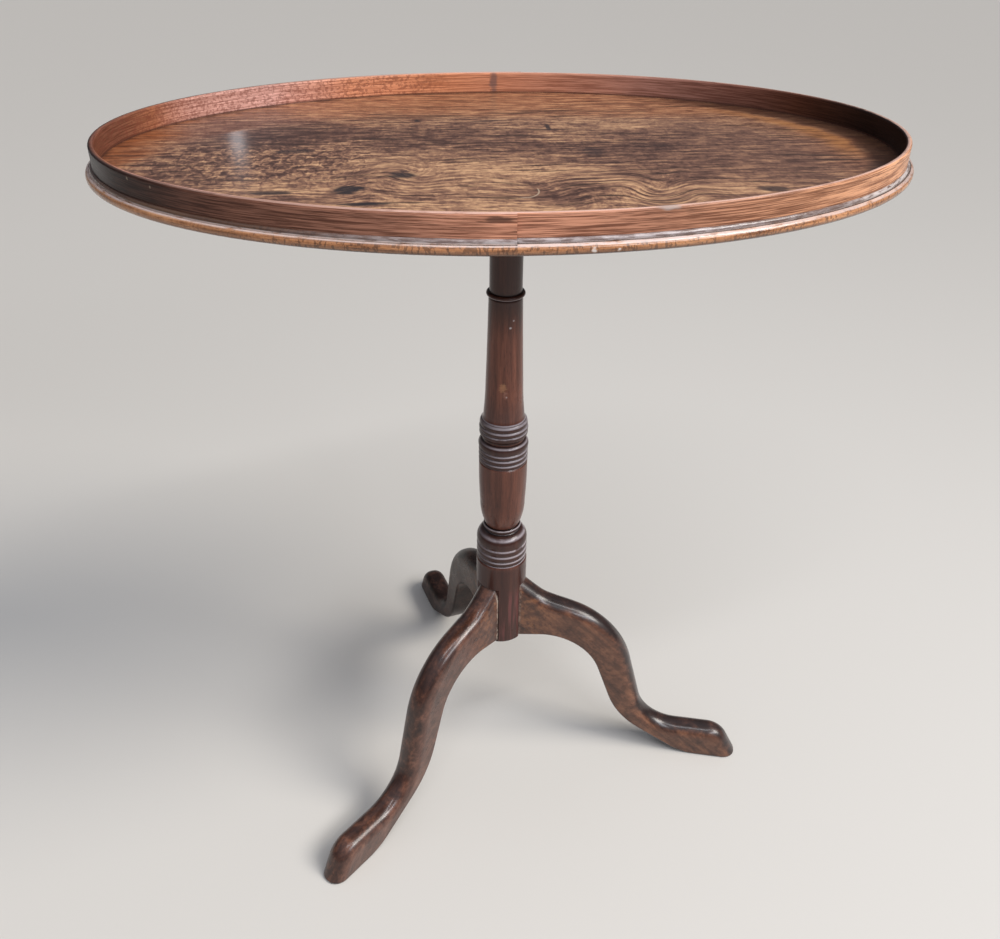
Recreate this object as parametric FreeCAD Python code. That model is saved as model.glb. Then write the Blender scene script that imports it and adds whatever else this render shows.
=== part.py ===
import FreeCAD, Part
import math
import os

# Oval tray top tea table: a gallery tray on a turned column with three dovetailed cabriole legs.
# Millimetres. The origin is on the floor under the column, +X runs along the tray's long axis, +Z is up.

# Tray
TABLE_HEIGHT = 710.0          # floor to the gallery's top edge
GALLERY_LENGTH = 667.0        # outside of the gallery along X
GALLERY_WIDTH = 426.0         # outside of the gallery along Y
GALLERY_THICKNESS = 4.5       # bent band
GALLERY_EDGE_RADIUS = 1.6     # rounding along the gallery's top edge
TRAY_DEPTH = 19.0             # board to the gallery's top edge
BOARD_THICKNESS = 8.5
LAP_STEP = 1.8                # how far the left band's ends stand proud of the right band
LAP_LENGTH = 32.0             # scarf where the bands overlap
LAP_LIP = 0.8                 # thickness left at the right band's ends
FRONT_LAP_X = -16.0           # visible end of the left band, on the outside at the front
BACK_LAP_X = 2.0              # visible end of the right band, on the inside at the back
BEAD_HEIGHT = 8.0
BEAD_PROJECTION = 6.0         # how far the bead stands out from the band
BEAD_FLAT = 0.6               # flat left on the bead's crown
STRIP_HEIGHT = 3.0            # narrow rounded strip on the bead, against the band
STRIP_PROJECTION = 2.2
STRIP_RADIUS = 1.8
QUIRK_WIDTH = 1.2             # groove between the strip and the bead's crown
QUIRK_DEPTH = 0.7

# Square cut pins that hold the bands on the board's edge, covered by the beads
PIN_COUNT = 22
PIN_SIDE = 1.3
PIN_LENGTH = 16.0
PIN_SINK = 0.3                # pin's end below the band's outside
PIN_CLEARANCE = 0.02

# Cross bearer and its screws
BEARER_LENGTH = 300.0         # along Y, across the board's grain
BEARER_WIDTH = 76.0
BEARER_THICKNESS = 22.0
BEARER_END_THICKNESS = 9.0
BEARER_TAPER_LENGTH = 48.0
SCREW_RADIUS = 2.1
SCREW_HEAD_RADIUS = 4.2
SCREW_HEAD_SINK = 0.8         # head below the bearer's underside
SCREW_COVER = 3.0             # board left above a screw's tip
SCREW_SLOT_WIDTH = 1.0
SCREW_SLOT_DEPTH = 1.1
SCREW_SIDE_MARGIN = 14.0      # screw's axis to the bearer's side
SCREW_END_MARGIN = 14.0       # end screw's axis to the start of the bearer's taper
SCREW_CLEARANCE = 0.05

# Column's round tenon in the bearer, and its wedge
TENON_RADIUS = 10.5
TENON_CLEARANCE = 0.05
TENON_TOP_GAP = 0.5           # tenon's end to the board
WEDGE_DEPTH = 17.0
WEDGE_TIP = 0.8               # thickness of the wedge's lower edge
WEDGE_HEAD = 2.6              # thickness of the wedge's upper edge

# Column
COLUMN_BASE = 156.0           # floor to the underside of the boss
BOSS_RADIUS = 27.0
BOSS_COLLAR = 28.5            # boss above the legs' shoulders
BOSS_EDGE_RADIUS = 2.5
LOWER_REED_RADIUS = 25.6      # bottom of the grooves between the lower reeds
UPPER_REED_RADIUS = 23.7      # bottom of the grooves between the upper reeds
WAIST_RADIUS = 17.6           # short neck below the bulb
BULB_RADIUS = 24.5
NECK_RADIUS = 15.2

# Turned mouldings between the boss and the neck, from the bottom up. Each has its height, the radius
# at its top and the bulge of its arc: a round above zero, a hollow below zero, a straight line at zero.
TURNING = [
    (2.2, LOWER_REED_RADIUS, 0.0),        # quirk above the boss
    (5.8, LOWER_REED_RADIUS, 0.9),        # reed
    (7.4, LOWER_REED_RADIUS, 1.1),        # reed
    (7.8, LOWER_REED_RADIUS, 1.1),        # reed
    (0.8, LOWER_REED_RADIUS + 0.5, 0.0),
    (15.2, WAIST_RADIUS + 0.8, 3.4),      # dome
    (2.0, WAIST_RADIUS, -0.3),            # short neck
    (4.6, WAIST_RADIUS, 2.3),             # thin ring
    (30.0, BULB_RADIUS - 1.2, 1.6),       # foot of the bulb
    (47.0, BULB_RADIUS, 0.5),             # bulb
    (1.2, UPPER_REED_RADIUS, 0.0),
    (5.0, UPPER_REED_RADIUS, 1.0),        # reed
    (5.8, UPPER_REED_RADIUS, 1.1),        # reed
    (5.6, UPPER_REED_RADIUS, 1.1),        # reed
    (1.0, UPPER_REED_RADIUS + 0.8, 0.0),
    (9.0, UPPER_REED_RADIUS - 2.6, 2.0),  # ovolo
    (4.8, UPPER_REED_RADIUS - 0.8, -1.1),  # hollow
    (5.4, UPPER_REED_RADIUS - 0.4, 1.1),  # bead
    (5.8, UPPER_REED_RADIUS - 0.6, 1.2),  # bead
    (6.6, NECK_RADIUS + 6.4, 1.3),        # bead
    (6.4, NECK_RADIUS + 4.9, -0.5),       # flare of the shaft
    (33.6, NECK_RADIUS + 3.0, -0.4),
    (86.5, NECK_RADIUS + 0.7, -0.15),     # tapered shaft
    (2.2, NECK_RADIUS + 0.1, 0.0),        # quirk
    (4.0, NECK_RADIUS, 2.8),              # necking ring
]

# Legs. Reaches are measured from the column's axis.
LEG_NAMES = ("leg_right", "leg_back", "leg_front_left")
FIRST_LEG_ANGLE = -14.15      # degrees from the tray's long axis
LEG_THICKNESS = 28.0
LEG_CREST_RADIUS = 12.5       # rounding along the top of a leg and round its toe
LEG_ARRIS_RADIUS = 2.2        # rounding along the underside and round the sole
SHOULDER_INSET = 2.5          # underside of the boss to the foot of a leg's shoulder
SHOULDER_HEIGHT = 73.0
FLARE_LENGTH = 26.5           # top of the leg swept up to the boss, outwards from the planed flat
FLARE_DROP = 21.0             # its lower end below the top of the shoulder
FLARE_RADIUS = 45.0
KNEE_REACH = 134.5
KNEE_DROP = 45.5              # corner of the knee below the top of the shoulder
KNEE_RADIUS = 100.0
KNEE_UNDER_INSET = 37.6       # corner under the knee inwards from the knee's corner
KNEE_UNDER_RISE = 10.7        # corner under the knee above the foot of the shoulder
KNEE_UNDER_RADIUS = 63.0
SHIN_SPAN = 39.3              # knee's corner to the ankle's corner, outwards
ANKLE_RADIUS = 48.0
ANKLE_UNDER_INSET = 33.7      # corner under the ankle inwards from the ankle's corner
ANKLE_UNDER_HEIGHT = 49.0
ANKLE_UNDER_RADIUS = 90.0
FOOT_HEIGHT = 38.5
FOOT_LENGTH = 110.7           # ankle's corner to the tip of the toe
TOE_SLOPE = 20.6              # how far the toe leans back over its height
TOE_RADIUS = 27.0
SOLE_LENGTH = 64.0
HEEL_RADIUS = 60.0
FLAT_MARGIN = 1.2             # planed flat on the boss beyond each side of a leg

# Sliding dovetail between a leg and the boss, open at the bottom
TAIL_INNER_REACH = 8.7        # column's axis to the inner end of a tail
TAIL_NECK = 10.0              # width at the shoulder
TAIL_WIDTH = 15.0             # width at its inner end
TAIL_STOP = 16.0              # top of the tail below the top of the shoulder
TAIL_CLEARANCE = 0.05

# Levels and outlines that follow from the sizes above
BOARD_UNDERSIDE = TABLE_HEIGHT - TRAY_DEPTH - BOARD_THICKNESS
BEARER_UNDERSIDE = BOARD_UNDERSIDE - BEARER_THICKNESS
TENON_TOP = BOARD_UNDERSIDE - TENON_TOP_GAP
GALLERY_A = GALLERY_LENGTH / 2
GALLERY_B = GALLERY_WIDTH / 2
LEFT_BAND_B = GALLERY_B + LAP_STEP
BOARD_A = GALLERY_A - GALLERY_THICKNESS
BOARD_B = GALLERY_B - GALLERY_THICKNESS
BACK_LAP_END = BACK_LAP_X + LAP_LENGTH
BEARER_WAIST = BEARER_LENGTH / 2 - BEARER_TAPER_LENGTH
SCREW_X = BEARER_WIDTH / 2 - SCREW_SIDE_MARGIN
SCREW_Y = BEARER_WAIST - SCREW_END_MARGIN
FLAT_DISTANCE = math.sqrt(BOSS_RADIUS**2 - (LEG_THICKNESS / 2 + FLAT_MARGIN)**2)
SHOULDER_BOTTOM = COLUMN_BASE + SHOULDER_INSET
SHOULDER_TOP = SHOULDER_BOTTOM + SHOULDER_HEIGHT
BOSS_TOP = SHOULDER_TOP + BOSS_COLLAR
ANKLE_REACH = KNEE_REACH + SHIN_SPAN
TOE_REACH = ANKLE_REACH + FOOT_LENGTH
TAIL_TOP = SHOULDER_TOP - TAIL_STOP
OVERCUT = 1.0                 # how far a cutting shape runs past the face it opens

UP = FreeCAD.Vector(0, 0, 1)


def vec(x, y, z=0.0):
    return FreeCAD.Vector(x, y, z)


def prism(points, direction):
    """A straight prism on a closed outline of points."""
    return Part.Face(Part.makePolygon([*points, points[0]])).extrude(direction)


def oval(a, b, bottom, height):
    """An upright oval solid with half-axes a along X and b along Y."""
    curve = Part.Ellipse(vec(0, 0, bottom), a, b)
    return Part.Face(Part.Wire(curve.toShape())).extrude(UP * height)


def oval_y(a, b, x):
    """Half the width of an oval at x."""
    return b * math.sqrt(1 - (x / a)**2)


def level_edges(shape, height):
    """The edges that lie in the level plane at a height."""
    near = 1e-4
    boxes = [(e, e.BoundBox) for e in shape.Edges]
    return [e for e, box in boxes if abs(box.ZMin - height) < near and box.ZLength < near]


def turned(shape, angle):
    """A copy turned about the column's axis."""
    copy = shape.copy()
    copy.rotate(vec(0, 0), UP, angle)
    return copy


def left_region():
    """Everything left of the two scarfs, where the left band lies outside the right one."""
    reach = GALLERY_LENGTH
    front_x = FRONT_LAP_X - LAP_LENGTH
    outline = [
        vec(-reach, -reach),
        vec(FRONT_LAP_X, -reach),
        vec(FRONT_LAP_X, -oval_y(GALLERY_A, GALLERY_B, FRONT_LAP_X)),
        vec(front_x, -oval_y(BOARD_A, BOARD_B, front_x) - LAP_LIP),
        vec(front_x, 0),
        vec(BACK_LAP_X, 0),
        vec(BACK_LAP_X, oval_y(BOARD_A, BOARD_B, BACK_LAP_X) + LAP_LIP),
        vec(BACK_LAP_END, oval_y(GALLERY_A, GALLERY_B, BACK_LAP_END)),
        vec(BACK_LAP_END, reach),
        vec(-reach, reach),
    ]
    return prism(outline, UP * (TABLE_HEIGHT + OVERCUT))


def left_bead_region():
    """Everything left of the butt joints of the beads, which lie at the visible ends of the left band."""
    reach = GALLERY_LENGTH
    outline = [
        vec(-reach, -reach), vec(FRONT_LAP_X, -reach), vec(FRONT_LAP_X, 0),
        vec(BACK_LAP_END, 0), vec(BACK_LAP_END, reach), vec(-reach, reach),
    ]
    return prism(outline, UP * TABLE_HEIGHT)


def gallery_ring(outer_b):
    """A whole gallery band with rounded top edges."""
    height = TABLE_HEIGHT - BOARD_UNDERSIDE
    inside = oval(BOARD_A, BOARD_B, BOARD_UNDERSIDE, height)
    ring = oval(GALLERY_A, outer_b, BOARD_UNDERSIDE, height).cut(inside)
    return ring.makeFillet(GALLERY_EDGE_RADIUS, level_edges(ring, TABLE_HEIGHT))


def bead_ring(inner_b):
    """A whole edge bead round a band: a half round under a narrow strip, with a quirk between them."""
    crown = BOARD_UNDERSIDE + BEAD_HEIGHT
    outer_a = GALLERY_A + BEAD_PROJECTION
    outer_b = GALLERY_B + LAP_STEP / 2 + BEAD_PROJECTION
    plate = oval(outer_a, outer_b, BOARD_UNDERSIDE, BEAD_HEIGHT)
    edges = level_edges(plate, BOARD_UNDERSIDE) + level_edges(plate, crown)
    half_round = plate.makeFillet((BEAD_HEIGHT - BEAD_FLAT) / 2, edges)
    quirk_out = STRIP_PROJECTION + QUIRK_WIDTH
    quirk = oval(GALLERY_A + quirk_out, inner_b + quirk_out, crown - QUIRK_DEPTH, QUIRK_DEPTH + OVERCUT)
    strip_a = GALLERY_A + STRIP_PROJECTION
    strip_b = inner_b + STRIP_PROJECTION
    strip = oval(strip_a, strip_b, BOARD_UNDERSIDE, BEAD_HEIGHT + STRIP_HEIGHT)
    rounded_strip = strip.makeFillet(STRIP_RADIUS, level_edges(strip, crown + STRIP_HEIGHT))
    whole = half_round.cut(quirk).fuse(rounded_strip).removeSplitter()
    return whole.cut(oval(GALLERY_A, inner_b, BOARD_UNDERSIDE, BEAD_HEIGHT + STRIP_HEIGHT))


def pin_seats():
    """Where each pin enters its band, and its direction into the board."""
    seats = []
    for i in range(PIN_COUNT):
        turn = 2 * math.pi * (i + 0.5) / PIN_COUNT
        x = GALLERY_A * math.cos(turn)
        lap_x = FRONT_LAP_X if math.sin(turn) < 0 else BACK_LAP_END
        b = LEFT_BAND_B if x < lap_x else GALLERY_B
        inward = vec(-math.cos(turn) / GALLERY_A, -math.sin(turn) / b).normalize()
        seats.append((vec(x, b * math.sin(turn), BOARD_UNDERSIDE + BOARD_THICKNESS / 2), inward))
    return seats


def pin_forms(start, side):
    """A square bar at each pin's seat, from a start beyond the band's outside to the pin's point."""
    bars = []
    for seat, inward in pin_seats():
        across = vec(-inward.y, inward.x) * (side / 2)
        near = seat + inward * start - UP * (side / 2)
        far = near + inward * (PIN_SINK + PIN_LENGTH - start)
        bars.append(prism([near - across, far - across, far + across, near + across], UP * side))
    return bars


def pin_solids():
    return pin_forms(PIN_SINK, PIN_SIDE)


def pin_holes():
    return pin_forms(-OVERCUT, PIN_SIDE + 2 * PIN_CLEARANCE)


def screw_places():
    """The foot of each screw's head, in three pairs along the bearer."""
    z = BEARER_UNDERSIDE + SCREW_HEAD_SINK
    return [vec(x, y, z) for x in (-SCREW_X, SCREW_X) for y in (-SCREW_Y, 0, SCREW_Y)]


def screw_form(clearance):
    """A countersunk screw standing on its head, thicker all round by the clearance."""
    shank = SCREW_RADIUS + clearance
    head = SCREW_HEAD_RADIUS + clearance
    length = BEARER_THICKNESS - SCREW_HEAD_SINK + BOARD_THICKNESS - SCREW_COVER + clearance
    cone = Part.makeCone(head, shank, head - shank)
    return cone.fuse(Part.makeCylinder(shank, length)).removeSplitter()


def screw_solid():
    """A screw with its slot."""
    reach = SCREW_HEAD_RADIUS + OVERCUT
    corner = vec(-reach, -SCREW_SLOT_WIDTH / 2)
    return screw_form(0).cut(Part.makeBox(reach * 2, SCREW_SLOT_WIDTH, SCREW_SLOT_DEPTH, corner))


def screw_space():
    """The room that a screw takes in the bearer and the board, open below its head."""
    radius = SCREW_HEAD_RADIUS + SCREW_CLEARANCE
    opening = Part.makeCylinder(radius, SCREW_HEAD_SINK + OVERCUT, vec(0, 0), UP * -1)
    return screw_form(SCREW_CLEARANCE).fuse(opening)


def placed(make_shape, places):
    """One shape made at each place."""
    shapes = [make_shape() for _ in places]
    for shape, place in zip(shapes, places):
        shape.translate(place)
    return shapes


def tray_board():
    board = oval(BOARD_A, BOARD_B, BOARD_UNDERSIDE, BOARD_THICKNESS)
    return board.cut([*pin_holes(), *placed(screw_space, screw_places())])


def bearer():
    """A flat bearer with tapered ends, the mortise and the countersunk screw holes."""
    half = BEARER_LENGTH / 2
    end_z = BOARD_UNDERSIDE - BEARER_END_THICKNESS
    side = [
        (-half, BOARD_UNDERSIDE), (-half, end_z), (-BEARER_WAIST, BEARER_UNDERSIDE),
        (BEARER_WAIST, BEARER_UNDERSIDE), (half, end_z), (half, BOARD_UNDERSIDE),
    ]
    blank = prism([vec(-BEARER_WIDTH / 2, y, z) for y, z in side], vec(BEARER_WIDTH, 0))
    radius = TENON_RADIUS + TENON_CLEARANCE
    foot = vec(0, 0, BEARER_UNDERSIDE - OVERCUT)
    mortise = Part.makeCylinder(radius, BEARER_THICKNESS + 2 * OVERCUT, foot)
    return blank.cut([mortise, *placed(screw_space, screw_places())])


def wedge_form():
    """The wedge's taper, long enough to kerf the tenon right across the bearer's grain."""
    low = TENON_TOP - WEDGE_DEPTH
    x = -TENON_RADIUS - OVERCUT
    section = [
        vec(x, -WEDGE_TIP / 2, low), vec(x, WEDGE_TIP / 2, low),
        vec(x, WEDGE_HEAD / 2, TENON_TOP), vec(x, -WEDGE_HEAD / 2, TENON_TOP),
    ]
    return prism(section, vec(-2 * x, 0))


def tenon_wedge():
    return wedge_form().common(Part.makeCylinder(TENON_RADIUS, TABLE_HEIGHT))


def moulding(start, end, bulge):
    """One turned stretch of the column's outline, in the XZ plane."""
    if bulge == 0:
        return Part.LineSegment(start, end).toShape()
    along = (end - start).normalize()
    middle = (start + end) / 2 + vec(along.z, 0, -along.x) * bulge
    return Part.Arc(start, middle, end).toShape()


def column_blank():
    """The turned column with its tenon, before the joints are cut."""
    point = vec(BOSS_RADIUS - BOSS_EDGE_RADIUS, 0, COLUMN_BASE)
    edges = [Part.LineSegment(vec(0, 0, COLUMN_BASE), point).toShape()]
    quarter_bulge = BOSS_EDGE_RADIUS * (1 - math.cos(math.pi / 4))
    boss = [
        (BOSS_EDGE_RADIUS, BOSS_RADIUS, quarter_bulge),
        (BOSS_TOP - COLUMN_BASE - BOSS_EDGE_RADIUS, BOSS_RADIUS, 0.0),
    ]
    for height, radius, bulge in boss + TURNING:
        top = vec(radius, 0, point.z + height)
        edges.append(moulding(point, top, bulge))
        point = top
    for corner in (
        vec(NECK_RADIUS, 0, BEARER_UNDERSIDE), vec(TENON_RADIUS, 0, BEARER_UNDERSIDE),
        vec(TENON_RADIUS, 0, TENON_TOP), vec(0, 0, TENON_TOP), vec(0, 0, COLUMN_BASE),
    ):
        edges.append(Part.LineSegment(point, corner).toShape())
        point = corner
    return Part.Face(Part.Wire(edges)).revolve(vec(0, 0), UP, 360)


def tail(bottom, top, clearance):
    """A leg's dovetail tail along +X, thicker all round by the clearance."""
    neck = TAIL_NECK / 2 + clearance
    wide = TAIL_WIDTH / 2 + clearance
    inner = TAIL_INNER_REACH - clearance
    plan = [(inner, -wide), (FLAT_DISTANCE, -neck), (FLAT_DISTANCE, neck), (inner, wide)]
    return prism([vec(x, y, bottom) for x, y in plan], UP * (top - bottom))


def column():
    """The column with a planed flat and a dovetail socket for each leg, and the tenon's kerf."""
    flat = Part.makeBox(
        BOSS_RADIUS, BOSS_RADIUS * 2, SHOULDER_TOP - COLUMN_BASE + OVERCUT,
        vec(FLAT_DISTANCE, -BOSS_RADIUS, COLUMN_BASE - OVERCUT))
    socket = tail(COLUMN_BASE - OVERCUT, TAIL_TOP + TAIL_CLEARANCE, TAIL_CLEARANCE)
    cuts = [turned(shape, angle) for angle in leg_angles() for shape in (flat, socket)]
    return column_blank().cut([*cuts, wedge_form()])


def leg_angles():
    step = 360 / len(LEG_NAMES)
    return [FIRST_LEG_ANGLE + i * step for i in range(len(LEG_NAMES))]


def rounded_outline(corners):
    """Edges of a closed outline in the XZ plane whose corners have radii, zero for a sharp one."""
    points = [vec(x, 0, z) for x, z, _ in corners]
    arcs = []
    for i, (_, _, radius) in enumerate(corners):
        back = (points[i - 1] - points[i]).normalize()
        onward = (points[(i + 1) % len(points)] - points[i]).normalize()
        half = back.getAngle(onward) / 2
        trim = radius / math.tan(half)
        middle = points[i] + (back + onward).normalize() * (radius / math.sin(half) - radius)
        arcs.append((points[i] + back * trim, middle, points[i] + onward * trim))
    edges = []
    for i, (start, middle, end) in enumerate(arcs):
        if corners[i][2]:
            edges.append(Part.Arc(start, middle, end).toShape())
        edges.append(Part.LineSegment(end, arcs[(i + 1) % len(arcs)][0]).toShape())
    return edges


def side_edges(leg, outline):
    """The edges of a leg's two sides that run along some edges of its outline."""
    near = 0.01
    found = []
    for edge in outline:
        middle = edge.valueAt((edge.FirstParameter + edge.LastParameter) / 2)
        for e in leg.Edges:
            m = e.valueAt((e.FirstParameter + e.LastParameter) / 2)
            if math.hypot(m.x - middle.x, m.z - middle.z) < near:
                found.append(e)
    return found


def leg():
    """A cabriole leg along +X: a rounded crest and toe, flat sides, a flat sole and a dovetail tail."""
    crest_corners = [
        (FLAT_DISTANCE, SHOULDER_TOP, 0),
        (FLAT_DISTANCE + FLARE_LENGTH, SHOULDER_TOP - FLARE_DROP, FLARE_RADIUS),
        (KNEE_REACH, SHOULDER_TOP - KNEE_DROP, KNEE_RADIUS),
        (ANKLE_REACH, FOOT_HEIGHT, ANKLE_RADIUS),
        (TOE_REACH - TOE_SLOPE, FOOT_HEIGHT, TOE_RADIUS),
    ]
    under_corners = [
        (TOE_REACH, 0, 0),
        (TOE_REACH - SOLE_LENGTH, 0, HEEL_RADIUS),
        (ANKLE_REACH - ANKLE_UNDER_INSET, ANKLE_UNDER_HEIGHT, ANKLE_UNDER_RADIUS),
        (KNEE_REACH - KNEE_UNDER_INSET, SHOULDER_BOTTOM + KNEE_UNDER_RISE, KNEE_UNDER_RADIUS),
        (FLAT_DISTANCE, SHOULDER_BOTTOM, 0),
    ]
    outline = rounded_outline(crest_corners + under_corners)
    crest_count = sum(2 if radius else 1 for _, _, radius in crest_corners)
    crest = outline[:crest_count]
    under = outline[crest_count:-1]
    side = Part.Face(Part.Wire(outline))
    side.translate(vec(0, -LEG_THICKNESS / 2))
    blank = side.extrude(vec(0, LEG_THICKNESS))
    crested = blank.makeFillet(LEG_CREST_RADIUS, side_edges(blank, crest))
    shaped = crested.makeFillet(LEG_ARRIS_RADIUS, side_edges(crested, under))
    return shaped.fuse(tail(SHOULDER_BOTTOM, TAIL_TOP, 0)).removeSplitter()


def main():
    left = left_region()
    left_bead = left_bead_region()
    holes = pin_holes()
    pieces = {
        "tray_board": tray_board(),
        "gallery_band_left": gallery_ring(LEFT_BAND_B).common(left).cut(holes),
        "gallery_band_right": gallery_ring(GALLERY_B).cut(left).cut(holes),
        "edge_bead_left": bead_ring(LEFT_BAND_B).common(left_bead),
        "edge_bead_right": bead_ring(GALLERY_B).cut(left_bead),
        "gallery_pins": Part.makeCompound(pin_solids()),
        "bearer": bearer(),
        "bearer_screws": Part.makeCompound(placed(screw_solid, screw_places())),
        "column": column(),
        "tenon_wedge": tenon_wedge(),
    }
    for name, angle in zip(LEG_NAMES, leg_angles()):
        pieces[name] = turned(leg(), angle)
    os.makedirs("parts", exist_ok=True)
    for name, shape in pieces.items():
        shape.exportStep(f"parts/{name}.step")
        print(name, len(shape.Solids), "solids", round(shape.Volume / 1000, 2), "cm3", shape.isValid())


main()
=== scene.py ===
import math

import bpy
from mathutils import Matrix, Vector


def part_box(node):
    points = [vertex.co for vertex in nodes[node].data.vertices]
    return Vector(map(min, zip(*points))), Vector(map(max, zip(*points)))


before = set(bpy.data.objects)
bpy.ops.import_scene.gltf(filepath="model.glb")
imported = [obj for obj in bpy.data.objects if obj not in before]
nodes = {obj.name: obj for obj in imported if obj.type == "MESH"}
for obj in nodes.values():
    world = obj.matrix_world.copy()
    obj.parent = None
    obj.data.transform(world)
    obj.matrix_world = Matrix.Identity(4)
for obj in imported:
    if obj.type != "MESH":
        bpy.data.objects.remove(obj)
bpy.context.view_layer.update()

# Sizes read from the frame, in metres
board_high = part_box("tray_board")[1]
BOARD_TOP = board_high.z
BOARD_A = board_high.x
BOARD_B = board_high.y
RIM_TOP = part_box("gallery_band_left")[1].z
bead_low, bead_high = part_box("edge_bead_left")
BEAD_LOW = bead_low.z
STRIP_HEIGHT = 0.0030
BEAD_CROWN = bead_high.z - STRIP_HEIGHT

# Camera at the photograph's viewing angle
CAMERA_PLACE = (-0.0869, -0.8210, 0.9189)
CAMERA_HEADING = 5.835         # degrees from +Y towards +X
CAMERA_PITCH = 33.61           # degrees down
CAMERA_ROLL = 0.843            # degrees
CAMERA_LENS = 35.02            # millimetres
SENSOR_WIDTH = 36.0

# Key light: a soft sun from the right
SUN_HEADING = -20.0            # degrees from +X towards +Y
SUN_HEIGHT = 45.0              # degrees up
SUN_ANGLE = 26.0               # degrees across
SUN_STRENGTH = 2.0
SUN_COLOUR = (1.0, 0.95, 0.88)

# Lamps: a wide box in front, a strip overhead and a small lamp behind that the board mirrors.
# Each has its name, place, aim, size, power, colour and shape.
TABLE_MIDDLE = (0.0, 0.0, 0.45)
MIRRORED_SPOT = (-0.227, 0.037, BOARD_TOP)
LAMPS = [
    ("front", (1.20, -1.35, 1.62), TABLE_MIDDLE, (1.5, 0.45), 20.0, (0.93, 0.95, 1.0), "RECTANGLE"),
    ("overhead", (0.30, -0.88, 2.4), TABLE_MIDDLE, (1.8, 0.16), 14.0, (0.96, 0.97, 1.0), "RECTANGLE"),
    ("back", (-0.647, 2.610, 1.375), MIRRORED_SPOT, (0.05, 0.06), 0.05, (0.97, 0.97, 1.0), "ELLIPSE"),
]

# Floor, and a sky that counts as lower behind the table
FLOOR_HALF = 9.0
FLOOR_COLOUR = (0.62, 0.595, 0.555)
FLOOR_ROUGHNESS = 0.85
SKY_TONES = [(0.0, (0.10, 0.10, 0.11)), (0.35, (0.17, 0.18, 0.20)), (1.0, (0.52, 0.55, 0.62))]
SKY_SPAN = (0.05, 0.95)
SKY_LOWER_BEHIND = -0.25


class Tree:
    """Adds and links the nodes of one node tree."""

    def __init__(self, tree):
        self.tree = tree

    def feed(self, socket, value):
        """Links an input to another node's output, or sets its value."""
        if isinstance(value, bpy.types.NodeSocket):
            self.tree.links.new(value, socket)
        else:
            socket.default_value = value

    def node(self, kind, inputs=(), **settings):
        node = self.tree.nodes.new("ShaderNode" + kind)
        for key, value in settings.items():
            setattr(node, key, value)
        for key, value in dict(inputs).items():
            self.feed(node.inputs[key], value)
        return node

    def place(self, group, **inputs):
        """One of the shared groups, its inputs given with underscores for spaces."""
        node = self.node("Group", node_tree=group)
        for key, value in inputs.items():
            self.feed(node.inputs[key.replace("_", " ")], value)
        return node.outputs

    def show(self, shader, output="OutputMaterial"):
        """Makes a shader the surface that the tree puts out."""
        self.tree.links.new(shader.outputs[0], self.node(output).inputs["Surface"])

    def object_place(self):
        """The point of the object, in metres."""
        return self.node("TexCoord").outputs["Object"]

    def normal(self):
        return self.node("NewGeometry").outputs["Normal"]

    def math(self, operation, *values):
        node = self.node("Math", operation=operation)
        for socket, value in zip(node.inputs, values):
            self.feed(socket, value)
        return node.outputs[0]

    def vector(self, operation, *values):
        node = self.node("VectorMath", operation=operation)
        for socket, value in zip(node.inputs, values):
            self.feed(socket, value)
        return node.outputs["Value" if operation in ("DOT_PRODUCT", "LENGTH") else "Vector"]

    def combine(self, x=0.0, y=0.0, z=0.0):
        return self.node("CombineXYZ", {"X": x, "Y": y, "Z": z}).outputs[0]

    def axes(self, vector):
        """The three numbers of a vector."""
        return tuple(self.node("SeparateXYZ", {"Vector": vector}).outputs)

    def noise(self, vector, scale=1.0, detail=3.0, roughness=0.55, distortion=0.0):
        inputs = {"Vector": vector, "Scale": scale, "Detail": detail,
                  "Roughness": roughness, "Distortion": distortion}
        return self.node("TexNoise", inputs).outputs[0]

    def long_noise(self, vector, along, across, **options):
        """Noise with one scale along the grain and another across it."""
        return self.noise(self.vector("MULTIPLY", vector, (along, across, across)), **options)

    def centred(self, noise):
        """A noise that goes up and down about zero."""
        return self.math("SUBTRACT", noise, 0.5)

    def smooth(self, value, low, high, to_low=0.0, to_high=1.0):
        """A soft step from low to high, where low may be the larger."""
        inputs = {"Value": value, "From Min": low, "From Max": high, "To Min": to_low, "To Max": to_high}
        return self.node("MapRange", inputs, interpolation_type="SMOOTHSTEP").outputs[0]

    def span(self, value, start, full, fade, end):
        """One from full to fade, zero before start and after end."""
        return self.times(self.smooth(value, start, full), self.smooth(value, end, fade))

    def blend(self, a, b, share):
        """A number between two others."""
        return self.math("MULTIPLY_ADD", self.math("SUBTRACT", b, a), share, a)

    def times(self, *values):
        product = values[0]
        for value in values[1:]:
            product = self.math("MULTIPLY", product, value)
        return product

    def weighted(self, *pairs):
        """The sum of values times their weights."""
        total = 0.0
        for value, weight in pairs:
            total = self.math("MULTIPLY_ADD", value, weight, total)
        return total

    def mix(self, factor, a, b, blend="MIX"):
        node = self.node("Mix", data_type="RGBA", blend_type=blend, clamp_factor=True)
        for index, value in ((0, factor), (6, a), (7, b)):
            self.feed(node.inputs[index], value)
        return node.outputs[2]

    def lay(self, colour, mask, amount, paint):
        """A colour with a paint laid over it where a mask is one."""
        return self.mix(self.times(mask, amount), colour, rgb(paint))

    def shade(self, colour, factor):
        """A colour times another."""
        return self.mix(1.0, colour, factor, "MULTIPLY")

    def shade_where(self, colour, mask, amount, factor):
        """A colour times another where a mask is one."""
        return self.mix(self.times(mask, amount), colour, self.shade(colour, rgb(factor)))

    def ramp(self, value, stops):
        node = self.node("ValToRGB", {"Fac": value})
        elements = node.color_ramp.elements
        while len(elements) < len(stops):
            elements.new(0.5)
        for element, (position, colour) in zip(elements, stops):
            element.position = position
            element.color = rgb(colour)
        return node.outputs[0]


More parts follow.
